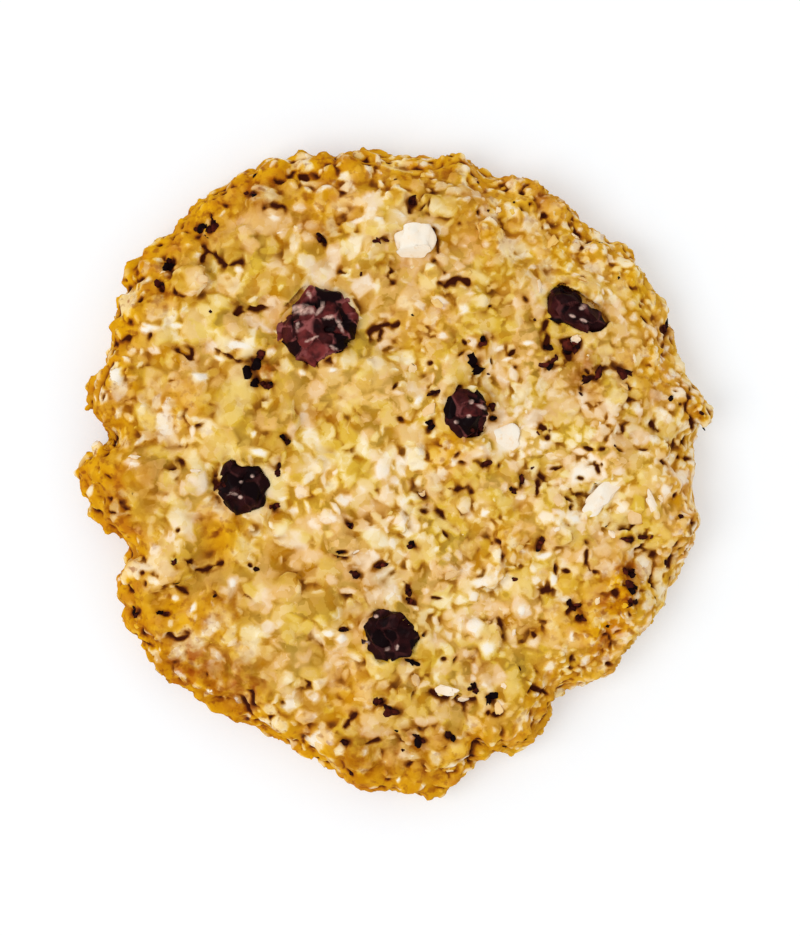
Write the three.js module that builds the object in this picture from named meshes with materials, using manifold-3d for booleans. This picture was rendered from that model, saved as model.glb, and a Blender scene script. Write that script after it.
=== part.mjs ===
// Oat and coconut cookie with dark chocolate chips, in millimetres.
// It lies flat on Z = 0 with +Z up, and the origin is under the middle of its bounding box.
// The dough is one solid: a round with a ragged, broken edge, lumps over its crown, and oat flakes,
// coconut pieces and small chocolate bits fused to it. Each large chip is a solid of its own that sits
// in a pocket in the dough.

import * as THREE from 'three';
import { ImprovedNoise } from 'three/addons/math/ImprovedNoise.js';
import { mergeVertices } from 'three/addons/utils/BufferGeometryUtils.js';
import Module from 'manifold-3d';

const wasm = await Module();
wasm.setup();

// Driving dimensions of the round. Reaches are shares of its radius and heights shares of its thickness.
const RADIUS = 37.1;
const CENTRE_Y = 1.6;
const THICKNESS = 12;
const SHOULDER = { reach: 0.8, height: 0.88 };
const ROLL = { reach: 0.93, height: 0.8 };
const SIDE_HEIGHT = 0.6;
const WIDEST_HEIGHT = 0.38;
const TUCK_HEIGHT = 0.1;
const BASE_REACH = 0.95;

// Bumps of the edge, and bites out of it where the rise is below zero.
// Each has its direction and half-width in degrees from +X, and its rise in millimetres.
const EDGE_FEATURES = [
  { at: 2, rise: -0.6, spread: 4 },
  { at: 10, rise: 1.7, spread: 4 },
  { at: 17, rise: -0.8, spread: 4 },
  { at: 40, rise: 0.8, spread: 3 },
  { at: 49, rise: -0.5, spread: 5 },
  { at: 64, rise: 0.4, spread: 3 },
  { at: 71, rise: -0.6, spread: 4 },
  { at: 77, rise: 1.0, spread: 4 },
  { at: 85, rise: -0.7, spread: 4 },
  { at: 121, rise: 2.4, spread: 14 },
  { at: 130, rise: -0.8, spread: 3 },
  { at: 142, rise: 1.5, spread: 4 },
  { at: 159, rise: -1.0, spread: 6 },
  { at: 176, rise: -3.8, spread: 4 },
  { at: 182, rise: 1.6, spread: 3 },
  { at: 198, rise: -3.7, spread: 6 },
  { at: 214, rise: 0.6, spread: 4 },
  { at: 245, rise: -1.3, spread: 9 },
  { at: 270, rise: 2.4, spread: 9 },
  { at: 280, rise: 2.8, spread: 6 },
  { at: 287, rise: -1.2, spread: 3 },
  { at: 294, rise: 1.6, spread: 5 },
  { at: 307, rise: -3.1, spread: 5 },
  { at: 321, rise: -0.7, spread: 6 },
  { at: 335, rise: -0.4, spread: 5 },
  { at: 346, rise: 0.7, spread: 5 },
  { at: 355, rise: -0.4, spread: 4 },
];

// Uneven surface: height and size of the broad lumps and of the crags on them.
// The relief is weaker on the side than on the crown, and the foot has none.
const LUMP = { height: 2.0, size: 8.5 };
const CRAG = { height: 1.8, size: 3.4 };
const SIDE_RELIEF = 0.35;
const RELIEF_FADES_BELOW = 2.5;

// Large chocolate chips: place, width along and across, turn in degrees, and share of the height that shows
const CHIP_HEIGHT = 0.7;
const CHIP_UNEVENNESS = { depth: 0.35, frequency: 1.3 };
const POCKET_GAP = 0.3;
const CHIPS = [
  { name: 'chip_upper_left', x: -8.9, y: 17.9, length: 9.4, width: 8.8, turn: 20, shows: 0.42 },
  { name: 'chip_upper_right', x: 22.3, y: 19.2, length: 7.8, width: 4.4, turn: -36, shows: 0.42 },
  { name: 'chip_right', x: 9.1, y: 7.6, length: 6.2, width: 5.8, turn: -35, shows: 0.45 },
  { name: 'chip_left', x: -18.0, y: -1.5, length: 6.4, width: 5.8, turn: 10, shows: 0.45 },
  { name: 'chip_bottom', x: -0.4, y: -19.1, length: 6.8, width: 6.2, turn: -15, shows: 0.45 },
];

// Coconut pieces and broad oat flakes that stand out: place, length, width and turn in degrees
const LARGE_FLAKES = [
  { x: 2.8, y: 27.9, length: 4.3, width: 3.9, turn: 0 },
  { x: 5.8, y: 31.6, length: 5.0, width: 3.2, turn: -25 },
  { x: 13.4, y: 3.9, length: 4.4, width: 3.2, turn: 65 },
  { x: 22.8, y: -0.2, length: 5.4, width: 4.4, turn: 30 },
  { x: 25.2, y: -2.6, length: 5.8, width: 2.2, turn: 48 },
  { x: -30.2, y: -11.6, length: 5.8, width: 2.6, turn: 15 },
  { x: -24.0, y: 22.8, length: 5.4, width: 4.6, turn: 20 },
  { x: 9.9, y: -18.0, length: 3.0, width: 2.8, turn: 0 },
  { x: 11.5, y: -20.7, length: 3.8, width: 3.2, turn: 70 },
  { x: 10.3, y: -8.6, length: 3.8, width: 3.0, turn: 15 },
  { x: 11.6, y: -30.8, length: 4.2, width: 3.2, turn: 80 },
  { x: 6.5, y: -25.6, length: 3.2, width: 2.0, turn: -5 },
  { x: -32.4, y: 11.6, length: 3.4, width: 2.8, turn: 40 },
];

// Small chocolate bits: place, length, width and turn in degrees
const CHOCOLATE_BITS = [
  { x: -15.7, y: 12.4, length: 4.2, width: 2.6, turn: 80 },
  { x: 19.7, y: 14.2, length: 4.4, width: 2.8, turn: 15 },
  { x: 32.8, y: 17.1, length: 4.8, width: 2.4, turn: 115 },
  { x: 0.1, y: -27.9, length: 4.2, width: 2.4, turn: -20 },
  { x: 28.2, y: -14.2, length: 3.8, width: 3.0, turn: 75 },
  { x: -22.2, y: 29.4, length: 3.2, width: 2.6, turn: 10 },
  { x: 2.6, y: -31.4, length: 3.6, width: 2.4, turn: -15 },
  { x: 24.0, y: 11.5, length: 3.8, width: 2.2, turn: -10 },
];

// Oat flakes spread over the crown and the side. They lie flatter and deeper on the side than on the crown.
const FLAKE_COUNT = 86;
const FLAKE_LENGTH = { least: 3.2, most: 5.4 };
const FLAKE_SLENDERNESS = 0.7;
const FLAKE_THICKNESS = 1.2;
const FLAKE_SUNK = 0.5;
const FLAKE_RISE = 0.35;
const FLAKE_TILT = 26;
const FLAKE_SIDES = 6;
const FLAKE_TAPER = 0.75;
const FLAKE_UNEVENNESS = { depth: 0.6, frequency: 2.5 };
const FLAKE_JITTER = 2;
const GOLDEN_ANGLE = Math.PI * (3 - Math.sqrt(5));
const SEED = 11;

// Fineness of the faceted solids
const SKIN_DETAIL = 15;
const CHIP_DETAIL = 1;
const CURVE_STEPS = 60;
const UNDERSIDE_SHARE = 0.12;
const MERGE_WITHIN = 0.08;

const noise = new ImprovedNoise();
const random = (low, high) => low + (high - low) * THREE.MathUtils.seededRandom();
const radians = THREE.MathUtils.degToRad;

// Distance from the middle of the round to its edge in one direction, in radians.
function edgeRadius(direction) {
  const degrees = THREE.MathUtils.radToDeg(direction);
  let radius = RADIUS;
  for (const { at, rise, spread } of EDGE_FEATURES) {
    const away = THREE.MathUtils.euclideanModulo(degrees - at + 180, 360) - 180;
    radius += rise * Math.exp(-((away / spread) ** 2));
  }
  return radius;
}

// Half of the upright section, from the middle of the crown round the edge to the middle of the base.
// X is the share of the edge's radius and Y the height. Each point has the share of the skin above it.
function makeProfile() {
  const path = new THREE.Path();
  path.moveTo(0, 1);
  path.quadraticCurveTo(SHOULDER.reach / 2, 1, SHOULDER.reach, SHOULDER.height);
  path.bezierCurveTo(ROLL.reach, ROLL.height, 1, SIDE_HEIGHT, 1, WIDEST_HEIGHT);
  path.quadraticCurveTo(1, TUCK_HEIGHT, BASE_REACH, 0);
  path.lineTo(0, 0);
  const points = path.getPoints(CURVE_STEPS).map(({ x, y }) => new THREE.Vector2(x, y * THICKNESS));
  let skin = 0;
  const shares = points.map((point, i) => {
    if (i > 0) {
      const before = points[i - 1];
      const step = Math.hypot((point.x - before.x) * RADIUS, point.y - before.y);
      const weight = before.y === 0 ? UNDERSIDE_SHARE : 1;
      skin += weight * step * (point.x + before.x) * RADIUS;
    }
    return skin;
  });
  return { points, shares: shares.map((share) => share / skin) };
}

const profile = makeProfile();

// Point of the section that has a given share of the skin above it, with the way it runs there.
function profileAt(share) {
  const { points, shares } = profile;
  let i = 1;
  while (i < shares.length - 1 && shares[i] < share) i++;
  const before = points[i - 1];
  const after = points[i];
  const t = (share - shares[i - 1]) / Math.max(shares[i] - shares[i - 1], Number.EPSILON);
  const along = new THREE.Vector2((after.x - before.x) * RADIUS, after.y - before.y).normalize();
  const { x: reach, y: z } = before.clone().lerp(after, t);
  return { reach, z, along };
}

// Height of the lumps and crags over the smooth round.
function relief(point, normal) {
  const lump = noise.noise(point.x / LUMP.size, point.y / LUMP.size, point.z / LUMP.size);
  const crag = noise.noise(point.x / CRAG.size, point.y / CRAG.size, point.z / CRAG.size);
  const fade = THREE.MathUtils.smoothstep(point.z, 0, RELIEF_FADES_BELOW);
  const strength = THREE.MathUtils.lerp(SIDE_RELIEF, 1, Math.max(normal.z, 0));
  return fade * strength * (LUMP.height * lump + CRAG.height * crag);
}

// Point on the dough's skin, and the way the skin faces there, for a direction and a share of the skin.
function skinAt(direction, share) {
  const { reach, z, along } = profileAt(share);
  const out = new THREE.Vector3(Math.cos(direction), Math.sin(direction), 0);
  const point = out.clone().multiplyScalar(reach * edgeRadius(direction)).setZ(z);
  point.y += CENTRE_Y;
  const normal = out.clone().multiplyScalar(-along.y).setZ(along.x);
  point.addScaledVector(normal, relief(point, normal));
  point.z = Math.max(point.z, 0);
  return { point, normal };
}

// Point on the crown's skin over a place.
function crownAt(x, y) {
  const direction = Math.atan2(y - CENTRE_Y, x);
  const reach = Math.hypot(x, y - CENTRE_Y) / edgeRadius(direction);
  const ring = profile.points.findIndex((point) => point.x >= Math.min(reach, 1));
  return skinAt(direction, profile.shares[ring]);
}

// Turns a closed geometry into a solid that can be joined and cut.
function solidFrom(geometry) {
  const bare = geometry.clone();
  bare.deleteAttribute('normal');
  bare.deleteAttribute('uv');
  const merged = mergeVertices(bare);
  return new wasm.Manifold(
    new wasm.Mesh({
      numProp: 3,
      vertProperties: merged.attributes.position.array,
      triVerts: new Uint32Array(merged.index.array),
    }),
  );
}

// Turns a solid back into a geometry, moved sideways by an offset.
function geometryFrom(solid, offset) {
  const { vertProperties, triVerts } = solid.getMesh();
  const geometry = new THREE.BufferGeometry();
  geometry.setAttribute('position', new THREE.BufferAttribute(vertProperties, 3));
  geometry.setIndex(new THREE.BufferAttribute(triVerts, 1));
  geometry.translate(offset.x, offset.y, 0);
  geometry.computeVertexNormals();
  return geometry;
}

// The bare round: a sphere whose skin is spread evenly over the section.
function makeRound() {
  const geometry = new THREE.IcosahedronGeometry(1, SKIN_DETAIL);
  const positions = geometry.attributes.position;
  const vertex = new THREE.Vector3();
  for (let i = 0; i < positions.count; i++) {
    vertex.fromBufferAttribute(positions, i).normalize();
    const { point } = skinAt(Math.atan2(vertex.y, vertex.x), (1 - vertex.z) / 2);
    positions.setXYZ(i, point.x, point.y, point.z);
  }
  return solidFrom(geometry);
}

// Pushes each point of a geometry out or in by noise, which differs from place to place.
function makeUneven(geometry, { depth, frequency }, place) {
  const positions = geometry.attributes.position;
  const vertex = new THREE.Vector3();
  for (let i = 0; i < positions.count; i++) {
    vertex.fromBufferAttribute(positions, i);
    const spot = vertex.clone().multiplyScalar(frequency).add(place);
    vertex.multiplyScalar(1 + depth * noise.noise(spot.x, spot.y, spot.z));
    positions.setXYZ(i, vertex.x, vertex.y, vertex.z);
  }
}

// A thin flake with few sides that lies on the skin, tilted and half sunk.
function makeFlake({ point, normal }, { length, width, turn, tilt = 0 }) {
  const geometry = new THREE.CylinderGeometry(FLAKE_TAPER / 2, 0.5, FLAKE_THICKNESS, FLAKE_SIDES);
  geometry.rotateX(Math.PI / 2);
  makeUneven(geometry, FLAKE_UNEVENNESS, point);
  geometry.scale(length, width, 1);
  geometry.rotateZ(radians(turn));
  geometry.rotateX(radians(tilt));
  const upright = new THREE.Vector3(0, 0, 1);
  geometry.applyQuaternion(new THREE.Quaternion().setFromUnitVectors(upright, normal));
  const middle = point.clone().addScaledVector(normal, FLAKE_RISE * normal.z - FLAKE_SUNK);
  geometry.translate(middle.x, middle.y, middle.z);
  return geometry;
}

const makePlacedFlake = (flake) => makeFlake(crownAt(flake.x, flake.y), flake);

const isNearChip = (point, size) =>
  CHIPS.some((chip) => Math.hypot(point.x - chip.x, point.y - chip.y) < (chip.length + size) / 2);

// Oat flakes spread evenly over the crown and the side by the golden angle, with a seeded unevenness.
function makeScatteredFlakes() {
  const widest = profile.shares[profile.points.findIndex((point) => point.x === 1)];
  const flakes = [];
  for (let i = 0; i < FLAKE_COUNT; i++) {
    const length = random(FLAKE_LENGTH.least, FLAKE_LENGTH.most);
    const direction = i * GOLDEN_ANGLE + random(-FLAKE_JITTER, FLAKE_JITTER) / RADIUS;
    const place = skinAt(direction, (widest * (i + 0.5)) / FLAKE_COUNT);
    const turn = random(0, 180);
    const tilt = random(-FLAKE_TILT, FLAKE_TILT) * place.normal.z;
    if (isNearChip(place.point, length)) continue;
    flakes.push(makeFlake(place, { length, width: length * FLAKE_SLENDERNESS, turn, tilt }));
  }
  return flakes;
}

// A chip: an uneven, faceted lump, grown on every side by a margin.
function makeChip({ x, y, length, width, turn, shows }, margin) {
  const geometry = new THREE.IcosahedronGeometry(1, CHIP_DETAIL);
  const height = CHIP_HEIGHT * width;
  makeUneven(geometry, CHIP_UNEVENNESS, new THREE.Vector3(x, y, 0));
  geometry.scale(length / 2 + margin, width / 2 + margin, height / 2 + margin);
  geometry.rotateZ(radians(turn));
  geometry.translate(x, y, crownAt(x, y).point.z + (shows - 0.5) * height);
  return geometry;
}

// The round with everything small fused on, cut by the chips' pockets.
// Only its largest body is kept, so sealed hollows are filled and loose scraps dropped.
function makeDough() {
  const placed = [...LARGE_FLAKES, ...CHOCOLATE_BITS].map(makePlacedFlake);
  const flakes = [...placed, ...makeScatteredFlakes()];
  const pockets = CHIPS.map((chip) => makeChip(chip, POCKET_GAP));
  const joined = flakes.reduce((dough, flake) => dough.add(solidFrom(flake)), makeRound());
  const cut = pockets.reduce((dough, pocket) => dough.subtract(solidFrom(pocket)), joined);
  const bodies = cut.simplify(MERGE_WITHIN).decompose();
  return bodies.reduce((largest, body) => (body.volume() > largest.volume() ? body : largest));
}

THREE.MathUtils.seededRandom(SEED);

const dough = makeDough();
const { min, max } = dough.boundingBox();
const toMiddle = new THREE.Vector2(-(min[0] + max[0]) / 2, -(min[1] + max[1]) / 2);

const baked = new THREE.MeshStandardMaterial({ color: 0xd8aa5e, roughness: 0.85, metalness: 0 });
const chocolate = new THREE.MeshStandardMaterial({ color: 0x24120f, roughness: 0.4, metalness: 0 });

const cookie = new THREE.Group();

function addPart(name, solid, material) {
  const mesh = new THREE.Mesh(geometryFrom(solid, toMiddle), material);
  mesh.name = name;
  cookie.add(mesh);
}

addPart('dough', dough, baked);
for (const chip of CHIPS) addPart(chip.name, solidFrom(makeChip(chip, 0)), chocolate);

export default cookie;
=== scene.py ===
"""Looks of an oat and coconut cookie with dark chocolate chips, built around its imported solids.

Sizes are in millimetres in the part's own frame, and become metres where a mesh is made.
"""

import math
from collections import namedtuple
from itertools import product

import bpy
import numpy as np
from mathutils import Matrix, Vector, noise
from mathutils.bvhtree import BVHTree
from mathutils.kdtree import KDTree


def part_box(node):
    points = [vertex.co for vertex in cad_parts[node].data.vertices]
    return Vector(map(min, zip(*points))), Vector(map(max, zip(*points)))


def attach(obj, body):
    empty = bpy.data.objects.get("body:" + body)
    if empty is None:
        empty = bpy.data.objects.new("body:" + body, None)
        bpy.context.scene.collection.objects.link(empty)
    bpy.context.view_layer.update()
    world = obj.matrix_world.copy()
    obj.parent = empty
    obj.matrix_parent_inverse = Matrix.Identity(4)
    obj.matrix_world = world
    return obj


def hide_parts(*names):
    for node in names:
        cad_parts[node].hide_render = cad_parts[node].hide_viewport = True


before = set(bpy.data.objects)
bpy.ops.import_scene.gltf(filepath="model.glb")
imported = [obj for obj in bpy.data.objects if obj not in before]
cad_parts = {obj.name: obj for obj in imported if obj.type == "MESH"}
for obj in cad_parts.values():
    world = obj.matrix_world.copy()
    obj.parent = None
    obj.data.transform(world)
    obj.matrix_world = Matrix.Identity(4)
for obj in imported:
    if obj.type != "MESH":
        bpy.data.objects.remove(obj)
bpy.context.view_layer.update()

MM = 0.001
SEED = 27
rng = np.random.default_rng(SEED)

# Forms of the values below. Limits are how far up a point faces and how high it lies, at least. A drift is a
# noise with features of some size, in its own layer. A waver drifts about a middle, between a low and a high
# value. Spots are where a noise rises from a low to a high value.
Patch = namedtuple("Patch", "x y radius strength")
Mark = namedtuple("Mark", "x y length width turn")
Flake = namedtuple("Flake", "x y length width turn tone")
Slit = namedtuple("Slit", "width path")
Kind = namedtuple("Kind", "count spacing inset length slenderness flatness sunk cuts ragged")
Chip = namedtuple("Chip", "brownness shift")
Limits = namedtuple("Limits", "facing height")
Drift = namedtuple("Drift", "size height layer")
Waver = namedtuple("Waver", "middle size height layer low high")
Spots = namedtuple("Spots", "size layer low high")


def listed(form, rows):
    """Rows of numbers, each as a thing with named values."""
    return [form(*row) for row in rows]


# Noise: how far apart its layers lie
LAYER_SHIFT = (7.3, -3.9, 5.1)

# Least length of a direction that still points aside from a normal
LEAST_ASIDE = 0.1

# Dough: middle of the round, fineness of its skin and how it closes round the chips
ROUND_CENTRE = np.array([0.0, 1.6])
VOXEL = 0.22
DOUGH_TRIANGLES = 190_000
POCKET_FILL = {"wider": 0.5, "lower": 1.5}

# Flakes pressed into the skin: how far apart, how large, how high and how light each kind is
PRESSED = [
    {"spacing": 3.2, "length": (3.0, 7.0), "slenderness": (0.5, 0.9), "rise": (0.0, 0.1), "tone": 0.46},
    {"spacing": 1.8, "length": (1.7, 3.8), "slenderness": (0.5, 0.9), "rise": (0.02, 0.16), "tone": 0.52},
    {"spacing": 1.2, "length": (0.9, 2.2), "slenderness": (0.3, 0.8), "rise": (0.02, 0.2), "tone": 0.54},
]
PRESSED_LIMITS = Limits(-0.5, 0.5)
PRESSED_SCALE = {"coarse": 1.4, "finer": 0.65, "small": 1.4}
FLAKE_SIDES = {"count": (5, 8), "turn": 0.3, "reach": (0.7, 1.05)}
FLAKE_FORM = {"core": 0.65, "search": 0.65, "slope": 0.05, "dome": 0.03, "facing": 0.4}
STANDING_FLAKE = {"rise": 0.25, "core": 0.35}

# Tone of the skin, from dark to light, and its warmth, from straw to peach
GROUND_TONE = 0.08
GROUND_DRIFT = [Drift(2.2, 0.16, 2), Drift(0.9, 0.1, 3)]
SHADE_DRIFT = [Drift(9.0, 0.5, 7), Drift(4.5, 0.45, 10)]
TONE_SPREAD = 0.2
TONE_LIMITS = (0.1, 1.0)
PALE_LIFT = 0.4
WARMTH = {"middle": 0.5, "spread": 0.35}
WARMTH_DRIFT = Drift(5.0, 0.9, 8)
CRISPNESS = 0.5

# Crust at the rim: its depth and border, and how it differs from the crown
CRUST_START = 0.5
CRUST_DEPTH = 8.0
CRUST_BORDER = [Drift(6.0, 1.2, 5), Drift(2.5, 1.2, 6)]
CRUST_PALING = {"share": 0.5, "power": 3}
NODULES = [{"size": 4.5, "height": 0.8}, {"size": 2.2, "height": 0.25}]
NODULE_EDGE = 0.5
OUTLINE_SWELL = 0.2
RIM_ROUGHNESS = 1.1
RIM_CONTRAST = 0.8
RIM_FINENESS = 0.35
RIM_LIGHTNESS = 0.24
# Painted light that lifts the tone of the right rim, against the key light's shade there
RIM_PALENESS = 0.55
RIM_BROWN = 0.6
RIM_SPOTS = Spots(2.0, 17, 0.0, 0.5)

# Where the dough is crumbly: how much at least, and from where to where it grows
CRUMBLY = {"least": 0.25, "from": -14, "to": 20}

# Grain, pits, grooves and gaps of the skin, whose hollows get painted shade, a brown tint round dark marks,
# and the base
SMOOTHING = 6
SKIN_START = (0.1, 1.4)
GRAIN = Drift(1.3, 0.05, 4)
PITS = {"count": 150, "length": (0.25, 0.8), "width": (0.18, 0.35), "depth": 0.5}
PIT_LIMITS = Limits(-0.1, 1.5)
GROOVE = {"depth": 0.35, "margin": 0.22}
GROOVE_LIMITS = Limits(0.1, 2.0)
HALO = {"margin": 0.6, "strength": 0.75}
# Hollow shade: the depth of a hollow whose painted shade is full, and how often the skin is blurred to find
# hollows; the painted shade in the gaps wavers from place to place
HOLLOW = {"depth": 0.21, "reach": 12}
GAPING = Waver(middle=0.95, size=3.0, height=1.2, layer=18, low=0.35, high=1.6)
BASE_DENTS = {"depth": 0.35, "facing": -0.9}
BASE_SPOTS = Spots(2.6, 13, 0.0, 0.6)
BASE_BROWN = 0.85
BASE_GOLD = 0.9

# Borders of patches and marks
PATCH_BORDER = Drift(3.0, 0.4, 11)
MARK_RIM = (0.6, 1.1)
MARK_FALL = 1.5
MARK_WIDTHS = Waver(middle=0.9, size=0.9, height=2.0, layer=14, low=0.2, high=2.0)
SLIT_DEPTHS = Waver(middle=1.2, size=1.3, height=1.6, layer=16, low=0.35, high=1.2)
SLIT_NARROWING = 2.4

# Patches of the crown that are more golden, paler, browner or rust red: x, y, radius and strength.
# Like the other landmarks they are read off the photograph.
GOLDEN_PATCHES = listed(Patch, [
    (25, -18, 6, 1), (27, -14, 4, 1.2), (-25, -17.5, 4.5, 1), (-28.5, 22.5, 4, 0.9), (6.2, 2.4, 3, 0.7),
    (4.6, 18.4, 4, 0.5), (12, 30.5, 4.5, 0.7), (21, 27, 5, 0.7), (-5.2, -25.6, 4, 0.6),
    (31.5, 12.5, 4, 0.8), (36.5, 7.5, 2.5, 0.9), (-34.6, 0.2, 4.5, 1), (-8, 33, 5, 0.8),
    (-20, -7.4, 3.5, 0.9), (-9.5, -2.5, 3, 0.4), (14.2, -9, 3, 0.7), (5.5, -36, 4, 0.8),
    (-26, 8, 4.5, 0.7), (-21, -18.5, 4, 0.8),
])
# The pale patch on the lower right rim, at (23, -24), is partly painted light where that side faces away
# from the key light
PALE_PATCHES = listed(Patch, [
    (-2.5, 5, 6, 0.8), (-0.4, -1.5, 5, 0.5), (23, -24, 6, 1), (24, 27, 6, 0.6), (21.5, -0.5, 6, 1.3),
    (11, -15.2, 6, 1.1), (18, -15.5, 5, 1), (-22, 22, 4.5, 0.5), (-23.8, 1, 4, 0.5), (-18, 15, 5, 0.5),
    (-11.5, -6.5, 4.5, 0.5), (-5.8, -20, 4, 0.7), (-14, -19, 5, 0.5), (2, 28, 4, 0.8),
    (-34, 15, 3.5, 0.8), (-30, -11.2, 3, 0.8), (13, 10, 3, 0.8),
])
BROWN_PATCHES = listed(Patch, [
    (-20.8, -24.4, 5, 1), (-26, -21.4, 3, 0.9), (-3, -34, 4, 0.7), (3.5, -32, 4, 0.7),
    (-33.4, -4.4, 3, 0.8), (-34.8, 8.4, 2.5, 0.8), (-28.5, 4, 2.4, 0.7), (-27.6, 22, 2.4, 0.8),
    (-21.8, 29, 2.2, 0.7), (-7.4, 36.6, 3, 0.7), (-15.6, 32.6, 2.4, 0.9), (-8.4, 28.4, 2.2, 0.8),
    (-15.6, 12.4, 2, 1), (22.6, 12.4, 3.6, 0.8), (19.4, 14.2, 2.4, 0.8), (28, -13.4, 3.2, 1),
    (-23, -11, 2.6, 0.6), (-29, -2, 4, 0.6), (-20.5, -17, 3.5, 0.6), (-3, -14.5, 4, 0.6),
    (-10, 28, 4, 0.5), (16, 25, 4, 0.5), (17.5, 9, 3, 0.6), (30, 7.5, 4, 0.6), (-13.5, 9, 3.5, 0.5),
    (-26.5, 9, 3.5, 0.5), (8, 33, 4.5, 0.5), (-11, -28.5, 3, 0.6), (11, -25.5, 3, 0.5),
])
RUST_PATCHES = listed(Patch, [
    (-13.8, 15.9, 1.3, 1), (-15.2, 12.4, 1.4, 0.9), (-14.2, -4.3, 1.2, 0.8), (7.2, 4.4, 1.3, 0.8),
    (27.8, -12.6, 2.2, 1), (25.2, -15.6, 2.4, 0.6), (24.6, -20.6, 2.2, 0.6), (3.2, -31.4, 1.6, 0.8),
    (-30.6, -16.8, 1.2, 0.9), (-24.5, -22.5, 3.2, 1), (-18, -26, 3.2, 0.9), (-3.4, -33.4, 3, 0.7),
    (-16.5, 34, 2.2, 0.7), (23.4, 12, 1.8, 0.8),
])

# Pale flakes pressed into the crown where they stand out: x, y, length, width, turn in degrees
# and tone, which makes them white above 1
PALE_FLAKES = listed(Flake, [
    (5.2, 31.8, 4.8, 2.6, -18, 0.85), (-23.6, 23.2, 5, 4.2, -30, 0.75),
    (-20.8, 20.6, 3.8, 2.4, -20, 0.85), (-5.9, 26.4, 2, 1.3, 60, 0.85), (-11.4, 29.2, 2, 1.5, 80, 0.85),
    (10.4, 23.4, 4.6, 1.8, -28, 0.75), (-26.2, 11.6, 2.6, 1.3, 5, 0.75),
    (-23.4, 1.2, 6, 3.2, -70, 0.78), (-0.9, 15.6, 2.8, 1.2, 5, 0.8), (11.2, 27.2, 1.6, 1.2, 20, 0.85),
    (-0.8, 1.4, 2.6, 2, 30, 0.85), (-0.6, -2.8, 2.8, 2.2, -30, 0.82), (-13.4, -6.8, 2.4, 2, 70, 0.88),
    (-9.4, -6, 2.8, 1.3, -15, 0.85), (8.4, -4, 3.2, 2, 80, 0.8), (16.9, 0.4, 3.2, 1.4, 80, 0.85),
    (5.2, -1.7, 2.8, 1.3, 10, 0.85), (-28.6, -10.4, 3.6, 1.8, 20, 0.8),
    (-12.4, -24.6, 2.8, 1.4, 5, 0.85), (-4.6, -21.8, 2.6, 1.8, -30, 0.9),
    (4.6, -29.4, 3.4, 1.8, 30, 0.8), (16.8, -20.2, 2.8, 1.7, 20, 0.85), (18.8, -18, 2.4, 1.8, 60, 0.85),
    (27.2, -19.2, 3.4, 1.5, 15, 0.85),
])
WHITE_TONE = 1.25
WHITE_FLAKES = [Flake(*row, WHITE_TONE) for row in [
    (21.6, -5.3, 1.7, 1.5, 0), (10.2, -12.9, 3.2, 1.9, 10), (19.2, -12.5, 2, 1.5, 80),
    (18.2, -9.8, 2.9, 1.2, 15), (15.2, -16.4, 2, 1, 85), (16.9, -26.4, 1.9, 0.7, -18),
    (10.9, -4.7, 1.8, 1.4, 30), (-14, 30.6, 2.4, 1.4, 0), (-18.4, 24.4, 1.8, 1.1, -10),
    (-23.4, 26.1, 1.5, 1.1, 20), (-25.6, 17.6, 2.1, 1.1, 0), (-22.7, 11.5, 3.3, 1.9, 5),
    (-18.6, 15.2, 2.8, 1.4, -10), (-20.9, 13.7, 2.5, 0.9, -28), (-15.8, 2.5, 3.4, 1.5, -8),
    (-13.1, -2.9, 2.3, 0.6, 12), (-16.5, 4.7, 1.4, 1.1, 60), (-19, -13, 1.6, 1.1, 80),
    (-25.9, -14.8, 1.8, 1.2, 0), (-23.7, -15.9, 2.1, 1.1, 65), (-6, -19.7, 2.1, 1.5, 10),
    (-7.6, -19, 1.7, 1.3, 20), (0.6, -36.7, 1.7, 0.9, 80), (8.4, 19.6, 2.2, 1.8, -10),
    (5.8, 16.5, 2, 1.3, 10), (16.1, 15.5, 2.3, 0.8, 5), (12.7, 14.9, 1.9, 0.8, 15),
    (13.8, 13.7, 1.9, 0.7, 10), (3, 8.7, 1.6, 1.3, 60), (-7.2, 12.2, 1.7, 0.8, 10),
    (-10.7, 12, 1.7, 1.1, -40), (-1.8, 30.2, 1.6, 1.1, 30), (21.2, -19.5, 2, 0.8, 85),
]]
BRIGHT_FLAKES = listed(Flake, [
    (22.4, 0.2, 5, 3.8, 30, 1.2), (-30.2, -11.3, 6, 2.8, 16, 0.98), (-29.2, 17.3, 3.5, 1.7, 10, 1.15),
    (-33, 11.7, 3.2, 2.8, 70, 1.15), (9.6, -17.9, 2.8, 2.6, 20, 1.2), (11.4, -20.8, 3.2, 2.5, 60, 1.2),
    (28.3, 5.4, 2.6, 1.8, 20, 1.1), (-22, -26, 2, 1.2, -30, 1.25), (2.6, -33.8, 2.4, 1.6, 20, 1.05),
    (6.8, -35, 2.6, 2, 50, 1.05), (-3.6, -35.4, 2.2, 1.3, -20, 1.05), (3.4, -37.4, 1.8, 1.2, 30, 1.1),
    (-9.6, -31.6, 2.2, 1.2, -25, 1.05),
])

# White coconut pieces that stand out of the crown, in the same terms
WHITE_PIECES = listed(Flake, [
    (2.6, 27.6, 5.2, 4.4, 8, 1.2), (13.4, 3.8, 5, 4, 70, 1.2), (24.8, -2.9, 6.6, 2.5, 46, 1.2),
    (30.9, -3.6, 3.8, 1.3, -72, 0.9), (6.4, -25.7, 3, 1.4, -5, 0.9),
])
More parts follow.
